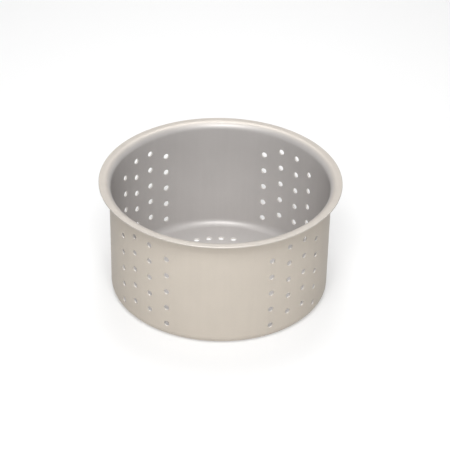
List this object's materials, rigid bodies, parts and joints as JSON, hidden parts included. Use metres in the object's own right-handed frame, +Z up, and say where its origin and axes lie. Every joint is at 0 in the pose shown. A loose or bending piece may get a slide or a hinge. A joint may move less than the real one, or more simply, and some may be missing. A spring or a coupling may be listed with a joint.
{
  "type": "cheese mold",
  "caption": "Round one-piece cheese mold: a matte aluminium pan with a flat flange, straight perforated wall and perforated flat base.",
  "frame": {"origin": "centre of the base's underside, on the surface that the mold stands on", "axes": "+Z up along the mold's axis, out of its open mouth; +X and +Y each pass between two groups of wall holes"},
  "size_m": [0.1972, 0.1972, 0.1],
  "materials": {
    "matte_aluminium": "matte, warm grey, fine blasted surface with a dull sheen"
  },
  "bodies": {
    "root": {"mold_body": "matte_aluminium"}
  },
  "joints": []
}
